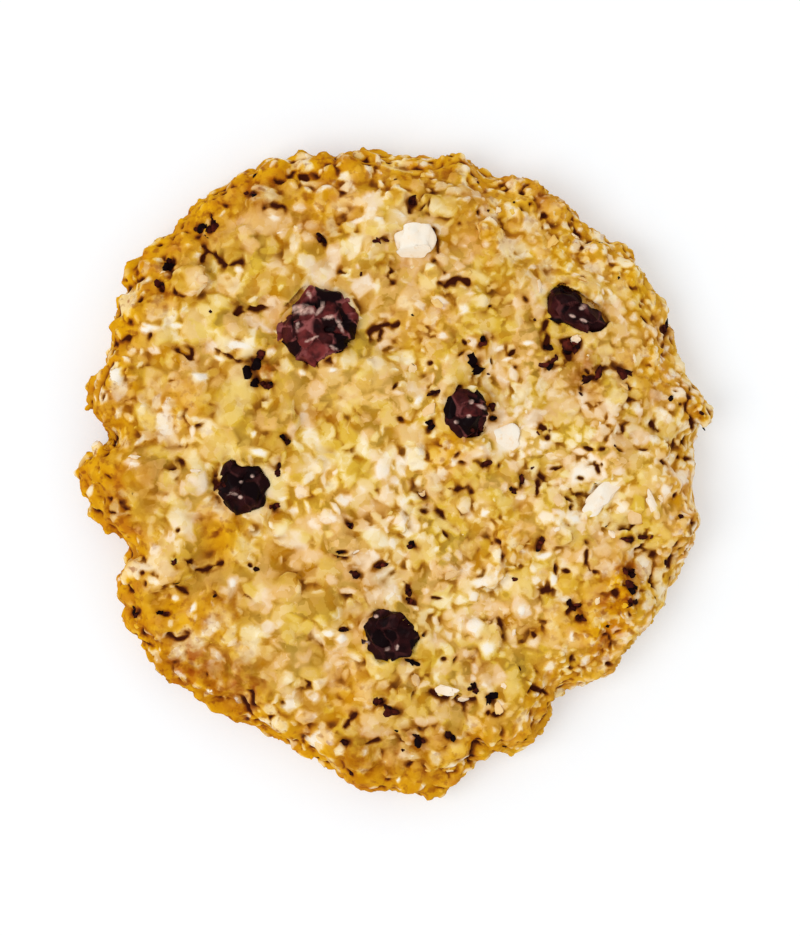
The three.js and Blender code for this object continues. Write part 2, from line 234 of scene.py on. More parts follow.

# Dark slits, cut as grooves that painted shade darkens: the width and the path of each
SLITS = listed(Slit, [
    (0.45, [(-22.8, 25.4), (-22.3, 26.8), (-21.1, 25.9), (-20.3, 24.9), (-19.4, 24.8), (-17.9, 25.4)]),
    (0.5, [(-15.4, 31.5), (-14.2, 31.8), (-12.8, 31.7)]), (0.5, [(-6.4, 24.1), (-5.3, 23.7)]),
    (0.45, [(-0.5, 24.8), (0, 24.2), (-0.6, 23.5), (-0.2, 22.9)]),
    (0.5, [(4.9, 29), (5.1, 27.8), (5.5, 26.3)]), (0.45, [(4.9, 25.3), (5.3, 24.8), (6.1, 23.8)]),
    (0.75, [(6.1, 22.6), (7.4, 23), (8.9, 22.9)]), (0.5, [(-26.1, 21.7), (-25, 21)]),
    (0.5, [(-25.6, 14.6), (-24.8, 14.2), (-23.9, 13.6)]),
    (0.3, [(-21.3, 14.9), (-19.9, 14.1), (-18.4, 13.3)]),
    (0.4, [(-18.8, 19), (-17, 19.5), (-15.6, 19.7), (-14.3, 19.8)]), (0.6, [(-9, 14.4), (-10.3, 13.1)]),
    (0.4, [(-8.4, 14.2), (-7.1, 13.1)]), (0.7, [(-2.6, 16.4), (-1.8, 17.3), (-0.6, 17.7), (0.4, 17.6)]),
    (0.8, [(18.1, 18), (18.4, 15.8)]), (0.55, [(17.7, 5.6), (18.6, 5.1), (18.3, 4.4)]),
    (0.5, [(35.6, 10.4), (35.3, 8.8), (35, 7.6), (35.6, 6.6), (36, 5.6)]),
    (0.5, [(30.7, 6), (31.6, 5.2)]), (0.45, [(17.6, -0.2), (17.3, -1.2), (17, -2.2)]),
    (0.55, [(2.3, -0.6), (2.4, -1.9), (3.6, -2.8)]),
    (0.55, [(6.7, -1.8), (7.6, -1.8), (8.8, -1.5), (9.4, -2.3)]),
    (0.45, [(4, -3.8), (4.8, -4.1), (5.8, -5)]), (0.5, [(23.1, -9.2), (23, -10.4), (23.5, -11.6)]),
    (0.55, [(12.7, -8.2), (13.1, -9.8)]), (0.45, [(33.4, -9.7), (33, -11)]),
    (0.5, [(36, -5.8), (35.4, -7)]), (0.55, [(-24.9, -10.4), (-24, -10.5), (-23.4, -10.9)]),
    (0.4, [(-23.4, -11.4), (-22.2, -11.3), (-20.4, -10.5)]),
    (0.5, [(-26.1, -13.2), (-25.4, -13.8), (-24.5, -14.3)]),
    (0.6, [(-26.9, -19.3), (-26, -19.9), (-25.3, -19.9), (-24.6, -19.5)]),
    (0.5, [(-17.5, -26), (-16.9, -26.1), (-16.4, -27.3)]),
    (0.4, [(-4.6, -28.6), (-5.2, -29.4), (-5.8, -30.2)]),
    (0.45, [(-3.2, -32.2), (-2.3, -32), (-1.5, -31.8)]),
    (0.5, [(4.6, -25.9), (5.4, -26.6), (7, -26.9), (8.2, -27.6)]),
    (0.4, [(16.8, -25.6), (18.5, -26.4)]), (0.45, [(9.7, -32.3), (9.5, -33.4), (9.2, -34.6)]),
    (0.55, [(24.8, -14.4), (25.6, -14.1), (26.2, -14), (26.6, -14.8)]),
    (0.5, [(1.3, -12.8), (1.9, -13.8)]),
])

# Dark bits of chocolate that stand out: x, y, length, width and turn in degrees
DARK_BITS = listed(Mark, [
    (-16.9, 33.4, 2, 0.9, 0), (-23.1, 29.4, 1.9, 1.4, -40), (-21.7, 29.3, 2.1, 1.2, 90),
    (-26.6, 24.8, 1.9, 1.3, -60), (-27.6, 22.4, 1.6, 1, -30), (-8.6, 28, 1.9, 1, -60),
    (-1.3, 27.8, 1.7, 0.6, 0), (2.2, 32.2, 2, 1, 80), (-15.7, 14, 1.8, 1.1, 20),
    (-16.7, 12.6, 2.4, 1.5, 80), (-16.2, 11, 1.8, 1.3, -50), (-14.9, 10.6, 1.6, 1, 20),
    (-12.7, 4, 1.6, 1, -15), (4.9, 9.6, 1.7, 0.7, 5), (4.4, 5.6, 2.1, 0.9, 70),
    (9.8, 13, 2.9, 1.5, -58), (10.6, 15.7, 1.7, 0.9, 60), (12, 6.5, 1.3, 0.9, 10),
    (11.5, 7.9, 1.4, 0.9, 80), (9.8, 5.1, 1.6, 0.7, 5), (20.2, 22.3, 1.3, 0.9, 40),
    (20.6, 14.4, 2.4, 1.8, 60), (21.8, 15.2, 1.9, 0.9, 60), (18.2, 15, 1.6, 1, 30),
    (18.7, 12.9, 2.2, 1.1, 35), (23.9, 11.5, 2.9, 1.4, -5), (26.8, 12.3, 2.4, 1.3, -40),
    (32.6, 17.2, 2.6, 1.1, -65), (11, 1.2, 1.7, 1, 10), (15.1, -1.2, 1.5, 0.7, 80),
    (14.4, -1.9, 1.5, 0.7, 5), (17.4, -8.4, 2.4, 0.8, 60), (28.4, -7.8, 2.8, 0.8, 8),
    (28.2, -11.6, 1.4, 1.1, -40), (28.8, -13.8, 1.8, 1, -20), (28.7, -15.4, 1.7, 0.8, 5),
    (21.2, -15.7, 1.9, 1, 5), (22.3, -17.1, 1.3, 0.7, -60), (-20.8, -1.3, 1.6, 0.9, 25),
    (-13.7, 0.8, 2, 0.9, 75), (-14.2, -4, 1.3, 0.8, 10), (-27.4, -16.7, 1.8, 0.6, 0),
    (-30.6, -16.6, 1.4, 0.7, -80), (-5.2, -5.9, 1.4, 0.6, -65), (-6, -9.4, 1.5, 0.7, 15),
    (2.5, -8.6, 1.3, 0.7, -10), (-1.7, -11, 2.1, 0.8, 20), (-4.2, -12, 1.7, 0.8, -30),
    (2.1, -14.9, 2.1, 0.9, -62), (2.2, -22.3, 1.8, 0.6, -6), (-5.8, -18.4, 2.1, 0.7, -3),
    (0.4, -28.3, 2.7, 1.1, -18), (-1.4, -27.1, 1.6, 0.8, 30), (-5.5, -32.1, 1.5, 0.8, 0),
    (3.1, -31.6, 2.4, 1.1, -25), (6.7, -31.4, 1.6, 1, -25), (9.7, -25.4, 1.4, 1.1, 60),
    (11.7, -26.8, 1.8, 1.1, -80),
])

# Chunks: size of their lumps, how far apart their noise is read, how much small ones outnumber large ones,
# where they are cut off, how much listed ones face up, and how much their tone falls towards their bottoms,
# a painted shade that also softens their rims
CHUNKS = {"lumps": 1.5, "apart": 50, "small": 1.6, "cut": (0.45, 0.9), "upright": 1.5, "fade": 0.5}

# Scattering: tries for each piece, distance from the chips, limits, and the height that rays start from
SCATTER = {"tries": 10, "margin": 0.4}
SCATTER_LIMITS = Limits(-0.3, 1.0)
HIGH_ABOVE = 100

# Loose pieces: how many, how far apart and from the outline, length, width as a share of the length,
# height as a share of the width, how deep they sit, flat cuts that break them and how uneven they are
OATS = Kind(20, 4.0, 1.5, (1.4, 2.8), (0.5, 0.85), 0.25, 0.0, 8, 0.5)
COCONUT = Kind(20, 4.0, 1.5, (0.8, 2.0), (0.35, 0.7), 0.35, 0.0, 4, 0.6)
CRUMBS = Kind(60, 1.6, 0.2, (0.4, 1.0), (0.6, 0.95), 0.7, 0.1, 5, 0.5)
BITS = Kind(50, 2.4, 0.6, (0.4, 1.0), (0.45, 0.85), 0.6, -0.05, 4, 0.9)
OAT_TONES = (0.3, 0.9)
COCONUT_TONES = (0.3, 0.8)
CLUMP = {"parts": 3, "spread": 0.4, "length": (0.45, 0.85), "width": (0.6, 1.2), "turn": 40}

# Chips: how far they fill their pockets, fineness, facets, ledges and raggedness of their faces,
# and how they stain the dough
CHIP_GROWTH = 0.3
CHIP_STEPS = 14
CHIP_FACETS = {"count": 26, "tilt": 0.2, "depth": (0.9, 0.98), "rounds": 3}
CHIP_LEDGES = {"size": 2.3, "depth": 0.6, "level": 0.7, "slope": 0.8, "dent": 0.35, "seed": 100}
CHIP_RAGGED = Drift(1.2, 0.35, 15)
CHIP_WELD = 0.01
CHIP_CREASE = 35
CHIP_STAIN = {"reach": 1.2, "strength": 0.9}
STAIN_SPOTS = Spots(2.5, 12, -0.1, 0.4)
GOLDEN_ANGLE = math.pi * (3 - math.sqrt(5))

# How brown each chip is, and how far it lies from the middle of its pocket
CHIPS = {
    "chip_bottom": Chip(0.12, (0.2, 0.3, 0.0)),
    "chip_left": Chip(0.12, (0.6, -0.2, 0.0)),
    "chip_right": Chip(0.6, (-0.5, -0.2, 0.0)),
    "chip_upper_left": Chip(1.0, (0.4, -0.4, 0.0)),
    "chip_upper_right": Chip(0.25, (-0.2, -0.2, 0.0)),
}

# Pale bloom with painted glints, and dark dents with painted shade, on the chips, in the terms of the dark
# bits
BLOOM_MARKS = listed(Mark, [
    (-6.3, 17.6, 2.4, 0.5, -62), (-7.5, 18.5, 1.8, 0.5, 12), (-8.7, 19.3, 1.8, 0.5, 50),
    (-11.3, 17.3, 1.4, 0.4, 85), (-10, 21.3, 0.9, 0.5, -60), (-11.4, 20.9, 0.7, 0.4, -40),
    (-7, 14.9, 1.2, 0.4, -30), (-9.6, 15.9, 2, 0.3, 25), (-10.7, 19.4, 3.2, 1.4, -6),
    (9.3, 8.5, 0.7, 0.6, 40), (10.5, 7.9, 1.5, 0.5, -22), (9, 6.8, 0.6, 0.5, 0),
    (7.5, 6.1, 0.6, 0.5, 0), (-18.9, -2.4, 1.1, 0.4, -12), (-18.1, -2.8, 0.6, 0.5, 0),
    (-18, -1, 0.5, 0.4, 0), (-16.7, -0.3, 0.5, 0.4, 0), (-0.6, -20.8, 1.1, 0.4, 20),
    (0.5, -20.6, 0.8, 0.4, 80), (-3, -20.1, 0.6, 0.5, 0), (-2, -16.9, 0.6, 0.5, 0),
    (22.5, 19.7, 0.9, 0.6, 20), (22.6, 18.2, 1, 0.4, -20), (21.3, 18.7, 0.9, 0.4, -20),
])
DENT_MARKS = listed(Mark, [
    (-7.7, 17.4, 1.9, 0.9, 0), (-5.6, 18.4, 4, 1.3, -66), (-5.8, 15.9, 2.6, 0.8, 0),
    (-9.6, 20.7, 3.6, 0.8, 12), (-12.4, 18.2, 1.8, 0.7, -75), (10.3, 9.2, 2.2, 0.8, -35),
    (23.2, 20.5, 3.8, 0.5, -28),
])

# Looks of the dough: how small cells vary its tone and warmth, how light flakes lose their gold, share of
# russet flecks, tones that turn white, and depths of hollow at which painted shade turns toasted, brown and
# dark
TONE_CELLS = {"size": 1.2, "least": -0.12, "most": 0.12}
WARMTH_CELLS = {"size": 2.0, "least": -0.25, "most": 0.25}
GOLD_LOSS = {"low": 0.55, "high": 1.0, "least": 1.0, "most": 0.35}
FLECK_SHARE = 0.75
WHITE_TONES = (1.0, 1.2)
TOASTED_DEPTHS = (0.1, 0.6)
BROWN_DEPTHS = (0.35, 0.85)
DARK_DEPTHS = (0.45, 0.85)

# View from above: its height in pixels, size of a pixel, middle, height that is in scale, and the lens
VIEW_HEIGHT = 936
PIXEL = 0.12
VIEW_CENTRE = (0.84, 0.66)
VIEW_PLANE = 6.0
FOCAL_LENGTH = 180
SENSOR_HEIGHT = 36

# Light: power of the key light in watts, its place and size in metres, and brightness of the surround
KEY_POWER = 3.4
KEY_PLACE = (-0.46, -0.14, 0.88)
KEY_SIZE = 0.6
SURROUND = 0.8

# Floor: its size in metres, how far it lies below the cookie, and its glow
FLOOR_SIZE = 4
FLOOR_DROP = 0.02
FLOOR_GLOW = 0.27
FLOOR_TINT = (0.9, 1.0, 1.1, 1.0)


def linear(red, green, blue):
    """Colour for a shader from the usual 0 to 255 values."""
    shares = np.array([red, green, blue]) / 255
    values = np.where(shares <= 0.04045, shares / 12.92, ((shares + 0.055) / 1.055) ** 2.4)
    return (*values, 1.0)


WHITE = linear(244, 235, 219)
PALE_STRAW = linear(246, 231, 190)
PALE_PEACH = linear(248, 231, 208)
STRAW = linear(236, 206, 124)
PEACH = linear(239, 206, 160)
STRAW_TAN = linear(218, 178, 58)
PEACH_TAN = linear(226, 179, 102)
KHAKI = linear(170, 132, 44)
MUSTARD = linear(190, 130, 14)
DEEP_GOLD = linear(215, 152, 8)
GOLD = linear(229, 170, 6)
PALE_GOLD = linear(244, 202, 76)
ORANGE = linear(206, 130, 16)
# Umber, russet, toast and crevice colour the painted shade in the dough's hollows; russet is also its flecks
# and toast its real browning
UMBER = linear(150, 92, 24)
RUSSET = linear(158, 80, 18)
TOAST = linear(207, 172, 90)
RUST = linear(210, 150, 76)
CREVICE = linear(62, 20, 6)
DARK_CHOCOLATE = linear(14, 3, 5)
BROWN_CHOCOLATE = linear(118, 46, 44)
RED_CHOCOLATE = linear(96, 34, 22)
MAUVE = linear(144, 78, 76)
BLOOM = linear(240, 202, 186)
FLOOR_GREY = linear(222, 222, 222)


def smooth_step(low, high, values):
    """0 below low, 1 above high, and a smooth rise between."""
    share = np.clip((np.asarray(values) - low) / (high - low), 0, 1)
    return share * share * (3 - 2 * share)


def noise_at(points, size, layer=0):
    """Noise from about -1 to 1 at each point, with features of that size."""
    offset = Vector(LAYER_SHIFT) * layer
    return np.array([noise.noise(Vector(point) / size + offset) for point in points])


def drift(points, *parts):
    """Slow noises at each point, added up."""
    return sum(part.height * noise_at(points, part.size, part.layer) for part in parts)


def wavering(points, form):
    """A value at each point that drifts about a middle, within limits."""
    values = form.middle + form.height * noise_at(points, form.size, form.layer)
    return np.clip(values, form.low, form.high)


def spots(points, form):
    """Soft spots, from 0 outside them to 1 inside."""
    return smooth_step(form.low, form.high, noise_at(points, form.size, form.layer))


def cell_depths(points, size):
    """How far each point lies inside the border of its cell, in cells of that size."""
    depths = []
    for point in points:
        distances, _ = noise.voronoi(Vector(point) / size)
        depths.append(distances[1] - distances[0])
    return np.array(depths)


def crumbliness(points):
    """Where the dough is crumbly, from 0 to 1: most at the right."""
    rightward = smooth_step(CRUMBLY["from"], CRUMBLY["to"], points[:, 0])
    return CRUMBLY["least"] + (1 - CRUMBLY["least"]) * rightward


def patchwork(points, patches):
    """How strong a set of round patches with uneven borders is at each point."""
    uneven = drift(points, PATCH_BORDER)
    strengths = np.zeros(len(points))
    for patch in patches:
        away = np.hypot(points[:, 0] - patch.x, points[:, 1] - patch.y) / patch.radius
        strengths = np.maximum(strengths, patch.strength * np.exp(-((away + uneven) ** 2)))
    return strengths


def mark_reach(points, mark, margin=0.0):
    """Where points lie in a mark's oval, seen from above: 0 in its middle and 1 at its rim."""
    turn = math.radians(mark.turn)
    away = points[:, :2] - (mark.x, mark.y)
    along = away @ (math.cos(turn), math.sin(turn))
    across = away @ (-math.sin(turn), math.cos(turn))
    return 2 * np.hypot(along / (mark.length + 2 * margin), across / (mark.width + 2 * margin))


def covered(points, marks):
    """How much marks cover each point, from 0 to 1, with soft rims."""
    cover = np.zeros(len(points))
    for mark in marks:
        cover = np.maximum(cover, 1 - smooth_step(*MARK_RIM, mark_reach(points, mark)))
    return cover


def within(points, normals, limits):
    """Which points face up enough and lie high enough."""
    return (normals[:, 2] > limits.facing) & (points[:, 2] > limits.height)


def path_distances(points, path):
    """Distance from each point to a path of straight stretches, seen from above."""
    nearest = np.full(len(points), np.inf)
    for start, end in zip(path, path[1:]):
        step = np.subtract(end, start)
        away = points[:, :2] - start
        share = np.clip(away @ step / (step @ step), 0, 1)
        nearest = np.minimum(nearest, np.linalg.norm(away - share[:, None] * step, axis=1))
    return nearest


def get_points(mesh):
    """Points of a mesh in millimetres."""
    points = np.empty(len(mesh.vertices) * 3)
    mesh.vertices.foreach_get("co", points)
    return points.reshape(-1, 3) / MM


def get_normals(mesh):
    """Normals at the points of a mesh."""
    normals = np.empty(len(mesh.vertices) * 3)
    mesh.vertices.foreach_get("normal", normals)
    return normals.reshape(-1, 3)


def set_points(mesh, points):
    """Moves the points of a mesh to places in millimetres."""
    mesh.vertices.foreach_set("co", (points * MM).ravel())
    mesh.update()


def set_values(mesh, **attributes):
    """Stores a value for each point of a mesh, under a name."""
    for label, values in attributes.items():
        layer = mesh.attributes.new(label, "FLOAT", "POINT")
        layer.data.foreach_set("value", np.asarray(values, np.float32))


def add_object(name, mesh):
    """Puts a mesh into the scene as the only selected object."""
    made = bpy.data.objects.new(name, mesh)
    bpy.context.scene.collection.objects.link(made)
    bpy.ops.object.select_all(action="DESELECT")
    made.select_set(True)
    bpy.context.view_layer.objects.active = made
    return made


def unit(vectors):
    """Vectors of length 1."""
    return vectors / np.linalg.norm(vectors, axis=-1, keepdims=True)


def bases(normals, turns):
    """For each normal, the directions ahead, aside and up of a piece that lies on it, turned."""
    ahead = np.stack([np.cos(turns), np.sin(turns), np.zeros(len(turns))], axis=1)
    ahead -= normals * np.sum(ahead * normals, axis=1, keepdims=True)
    upright = np.linalg.norm(ahead, axis=1) < LEAST_ASIDE
    ahead[upright] = np.cross(normals[upright], [0.0, 0.0, 1.0])
    ahead = unit(ahead)
    return np.stack([ahead, np.cross(normals, ahead), normals], axis=1)


# The dough's skin

class Edge:
    """Outline of the cookie from above: its radius in each direction."""

    STEPS = 360

    def __init__(self, points):
        directions, reaches = self.polar(points)
        bins = (directions / (2 * math.pi) * self.STEPS).astype(int) % self.STEPS
        self.radii = np.zeros(self.STEPS)
        np.maximum.at(self.radii, bins, reaches)

    @staticmethod
    def polar(points):
        """Direction and distance of each point from the middle of the round."""
        away = points[:, :2] - ROUND_CENTRE
        return np.arctan2(away[:, 1], away[:, 0]) % (2 * math.pi), np.hypot(away[:, 0], away[:, 1])

    def inset(self, points):
        """How far in from the outline each point lies."""
        directions, reaches = self.polar(points)
        steps = np.arange(self.STEPS + 1) / self.STEPS * 2 * math.pi
        return np.interp(directions, steps, np.append(self.radii, self.radii[0])) - reaches

    def paling(self, points):
        """How golden the crust is in the direction of each point: less at the right."""
        directions, _ = self.polar(points)
        # Less gold at the right is partly the crust's own colour and partly painted light against the key
        # light's shade
        rightward = (1 + np.cos(directions)) / 2
        return 1 - CRUST_PALING["share"] * rightward ** CRUST_PALING["power"]

    def browning(self, points):
        """How golden each point is: most at the edge, but less at the right, and in patches."""
        depth = self.inset(points) + drift(points, *CRUST_BORDER)
        crust = self.paling(points) * (1 - smooth_step(CRUST_START, CRUST_DEPTH, depth))
        return np.maximum(crust, patchwork(points, GOLDEN_PATCHES))


class Neighbours:
    """The neighbours of each point of a mesh, for blurring values over its surface."""

    def __init__(self, mesh):
        ends = np.empty(len(mesh.edges) * 2, int)
        mesh.edges.foreach_get("vertices", ends)
        self.first, self.second = ends.reshape(-1, 2).T
        self.size = len(mesh.vertices)
        self.counts = np.bincount(ends, minlength=self.size)

    def blur(self, rows, times):
        """Averages each row of values with those at neighbouring points, some number of times."""
        columns = list(rows.T)
        for _ in range(times):
            for i, values in enumerate(columns):
                total = values + np.bincount(self.first, values[self.second], self.size)
                total += np.bincount(self.second, values[self.first], self.size)
                columns[i] = total / (self.counts + 1)
        return np.stack(columns, axis=1)


def remesh_dough():
    """Fine even skin over the dough's solid, with its pockets filled close to the chips."""
    dough = add_object("cookie_dough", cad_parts["dough"].data.copy())
    for name in CHIPS:
        filler = add_object("filler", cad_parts[name].data.copy())
        points = get_points(filler.data)
        low, high = points.min(axis=0), points.max(axis=0)
        middle, half = (low + high) / 2, (high - low) / 2
        points = middle + (points - middle) * (half + POCKET_FILL["wider"]) / half
        set_points(filler.data, points - [0, 0, POCKET_FILL["lower"]])
        dough.select_set(True)
        bpy.context.view_layer.objects.active = dough
        bpy.ops.object.join()
    dough.data.remesh_voxel_size = VOXEL * MM
    bpy.ops.object.voxel_remesh()
    dough.data.materials.clear()
    return dough


def search_tree(points):
    """Tree that finds the points near a place."""
    tree = KDTree(len(points))
    for i, point in enumerate(points):
        tree.insert(point, i)
    tree.balance()
    return tree


def near_numbers(tree, place, distance):
    """Numbers of the points within a distance of a place."""
    return np.array([i for _, i, _ in tree.find_range(place, distance)])


def inside_flake(along, across, length, width):
    """Where points lie in an uneven flake with straight sides, from 0 in its middle to 1 at its rim."""
    sides = rng.integers(*FLAKE_SIDES["count"])
    shifts = rng.uniform(-FLAKE_SIDES["turn"], FLAKE_SIDES["turn"], sides)
    turns = 2 * math.pi * (np.arange(sides) + shifts) / sides
    limits = rng.uniform(*FLAKE_SIDES["reach"], sides)
    reach = np.outer(along / length, np.cos(turns)) + np.outer(across / width, np.sin(turns))
    return (2 * reach / limits).max(axis=1)


class Pressing:
    """The skin's rise, tone and warmth at each point, as flakes are pressed into it in turn."""

    def __init__(self, points, normals, tree, rim, paling):
        self.points, self.normals, self.tree = points, normals, tree
        crust = rim * paling
        self.roughness = 1 + RIM_ROUGHNESS * crust
        self.tone_spread = TONE_SPREAD * (1 + RIM_CONTRAST * crust)
        # Pale patches lift the tone; the right rim's lift is painted light against the key light's shade
        lightness = PALE_LIFT * patchwork(points, PALE_PATCHES) + RIM_PALENESS * rim * (1 - paling)
        self.shade = drift(points, *SHADE_DRIFT) + lightness + RIM_LIGHTNESS * crust
        self.coarseness = PRESSED_SCALE["coarse"] - PRESSED_SCALE["finer"] * crumbliness(points)
        self.scale = self.coarseness * (1 - RIM_FINENESS * crust)
        self.rise = np.zeros(len(points))
        self.tone = GROUND_TONE + drift(points, *GROUND_DRIFT)
        self.warmth = WARMTH["middle"] + drift(points, WARMTH_DRIFT)
        self.open = np.flatnonzero(within(points, normals, PRESSED_LIMITS))

    def press(self, centre, length, width, turn, rise, tone, core=FLAKE_FORM["core"]):
        """Presses a flake in at a point, as an uneven plate that slopes a little."""
        ahead, aside, up = bases(self.normals[[centre]], np.array([turn]))[0]
        near = near_numbers(self.tree, self.points[centre], FLAKE_FORM["search"] * length)
        away = self.points[near] - self.points[centre]
        along, across = away @ ahead, away @ aside
        reach = inside_flake(along, across, length, width)
        slope = rng.normal(0, FLAKE_FORM["slope"], 2)
        level = rise + slope[0] * along + slope[1] * across - FLAKE_FORM["dome"] * reach**2
        faces_up = self.normals[near] @ up > FLAKE_FORM["facing"]
        over = (level > self.rise[near]) & (reach < 1) & faces_up
        cover = 1 - smooth_step(core, 1.0, reach[over])
        hit = near[over]
        self.rise[hit] += (level[over] - self.rise[hit]) * cover
        self.tone[hit] += (tone - self.tone[hit]) * cover
        warmth = self.warmth[centre] + rng.normal(0, WARMTH["spread"])
        self.warmth[hit] += (warmth - self.warmth[hit]) * cover

    def spaced(self, spacing):
        """Some of the open points, in no order, each its own spacing away from those before it."""
        free = np.ones(len(self.points), bool)
        chosen = []
        for centre in rng.permutation(self.open):
            if free[centre]:
                chosen.append(centre)
                free[near_numbers(self.tree, self.points[centre], spacing[centre])] = False
        return chosen

    def press_kind(self, kind):
        """Presses flakes of one kind in all over the crown and the side."""
        low, high = kind["length"]
        for centre in self.spaced(kind["spacing"] * self.coarseness):
            length = self.scale[centre] * (low + (high - low) * rng.random() ** PRESSED_SCALE["small"])
            width = length * rng.uniform(*kind["slenderness"])
            tone = kind["tone"] + self.shade[centre] + rng.normal(0, self.tone_spread[centre])
            rise = self.roughness[centre] * rng.uniform(*kind["rise"])
            turn = rng.uniform(0, math.pi)
            self.press(centre, length, width, turn, rise, np.clip(tone, *TONE_LIMITS))

    def press_listed(self, flake):
        """Presses a listed flake in, so that it stands out."""
        places = self.points[self.open]
        centre = self.open[np.hypot(places[:, 0] - flake.x, places[:, 1] - flake.y).argmin()]
        turn = math.radians(flake.turn)
        self.press(centre, flake.length, flake.width, turn, tone=flake.tone, **STANDING_FLAKE)


def dig_pits(points, normals, tree, crust):
    """Depth of small pits in the crown and the side, at each point, from 0 to 1."""
    depths = np.zeros(len(points))
    chance = (crumbliness(points) + crust) * within(points, normals, PIT_LIMITS)
    for centre in rng.choice(len(points), PITS["count"], replace=False, p=chance / chance.sum()):
        length, width = rng.uniform(*PITS["length"]), rng.uniform(*PITS["width"])
        ahead, aside, _ = bases(normals[[centre]], rng.uniform(0, math.pi, 1))[0]
        near = near_numbers(tree, points[centre], 2 * length)
        away = points[near] - points[centre]
        depth = np.exp(-((away @ ahead / length) ** 2) - (away @ aside / width) ** 2)
        depths[near] = np.maximum(depths[near], depth)
    return depths


def near_marks(points, normals, margin):
    """How near each point of the crown is to a dark slit or bit, from 0 far off to 1 in its middle."""
    nearness = np.zeros(len(points))
    crown = np.flatnonzero(within(points, normals, GROOVE_LIMITS))
    places = points[crown]
    widths = wavering(places, MARK_WIDTHS)
    depths = wavering(places, SLIT_DEPTHS)
    for slit in SLITS:
        reach = path_distances(places, slit.path) / (widths * (slit.width / SLIT_NARROWING + margin))
        nearness[crown] = np.maximum(nearness[crown], depths * np.exp(-MARK_FALL * reach**2))
    for bit in DARK_BITS:
        reach = mark_reach(places, bit, margin) / np.sqrt(widths)
        nearness[crown] = np.maximum(nearness[crown], np.exp(-MARK_FALL * reach**2))
    return nearness


def chip_stain(points):
    """How much the chocolate has stained the dough at each point: most next to the chips, in places."""
    near = np.zeros(len(points))
    for name in CHIPS:
        low, high = np.array(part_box(name)) / MM
        half = (high - low)[:2] / 2
        reach = np.hypot(*((points[:, :2] - (low + high)[:2] / 2) / half).T)
        near = np.maximum(near, 1 - smooth_step(0, CHIP_STAIN["reach"], (reach - 1) * half.mean()))
    return CHIP_STAIN["strength"] * near * spots(points, STAIN_SPOTS)


def thin_out(thing, triangles):
    """Merges the smallest faces of an object until about that many triangles are left."""
    thing.data.calc_loop_triangles()
    thin = thing.modifiers.new("thin", "DECIMATE")
    thin.ratio = triangles / len(thing.data.loop_triangles)
    bpy.context.view_layer.objects.active = thing
    bpy.ops.object.modifier_apply(modifier=thin.name)


def make_dough():
    """The dough, with its edge's outline."""
    dough = remesh_dough()
    neighbours = Neighbours(dough.data)
    points = neighbours.blur(get_points(dough.data), SMOOTHING)
    normals = unit(neighbours.blur(get_normals(dough.data), SMOOTHING))
    edge = Edge(points)
    tree = search_tree(points)

    upper = smooth_step(*SKIN_START, points[:, 2])
    rim = 1 - smooth_step(0, CRUST_DEPTH, edge.inset(points))
    paling = edge.paling(points)
    crust = rim * paling
    pits = dig_pits(points, normals, tree, crust)
    grooves = near_marks(points, normals, GROOVE["margin"])
    halos = HALO["strength"] * near_marks(points, normals, HALO["margin"])
    pressing = Pressing(points, normals, tree, rim, paling)
    for kind in PRESSED:
        pressing.press_kind(kind)
    for flake in PALE_FLAKES + WHITE_FLAKES + BRIGHT_FLAKES + WHITE_PIECES:
        pressing.press_listed(flake)

    rise = pressing.rise - pressing.roughness * pressing.rise[upper > 0].mean() + OUTLINE_SWELL * crust
    for nodule in NODULES:
        lump = smooth_step(0, NODULE_EDGE, cell_depths(points, nodule["size"]))
        rise += nodule["height"] * crust * (lump - 0.5)
    rise += drift(points, GRAIN)
    rise -= PITS["depth"] * pits + GROOVE["depth"] * grooves
    dents = BASE_DENTS["depth"] * spots(points, BASE_SPOTS) * (normals[:, 2] < BASE_DENTS["facing"])
    points = points + normals * (rise * upper - dents)[:, None]
    points[:, 2] = np.maximum(points[:, 2], 0)

    # Painted shade in the skin's gaps, pits and grooves: the deeper a point lies, the darker its colour
    sunk = np.sum((neighbours.blur(points, HOLLOW["reach"]) - points) * normals, axis=1)
    gaps = wavering(points, GAPING) * sunk / HOLLOW["depth"]
    hollow = upper * np.clip(np.max([gaps, pits, grooves], axis=0), 0, 1)
    crisp = np.stack([hollow, pressing.tone, pressing.warmth], axis=1)
    soft = neighbours.blur(crisp, 1)
    hollow, tone, warmth = (CRISPNESS * crisp + (1 - CRISPNESS) * soft).T
    toasted = RIM_BROWN * crust * spots(points, RIM_SPOTS)
    baked = np.maximum(BASE_BROWN * (1 - upper), toasted)
    brown = np.max([halos, patchwork(points, BROWN_PATCHES), chip_stain(points), baked], axis=0)
    golden = np.maximum(edge.browning(points), BASE_GOLD * (1 - upper))

    set_points(dough.data, points)
    set_values(dough.data, hollow=hollow, tone=tone, warmth=warmth, brown=brown)
    set_values(dough.data, golden=golden, rust=patchwork(points, RUST_PATCHES))
    thin_out(dough, DOUGH_TRIANGLES)
    dough.data.shade_smooth()
    return dough, edge


# Loose pieces on the dough

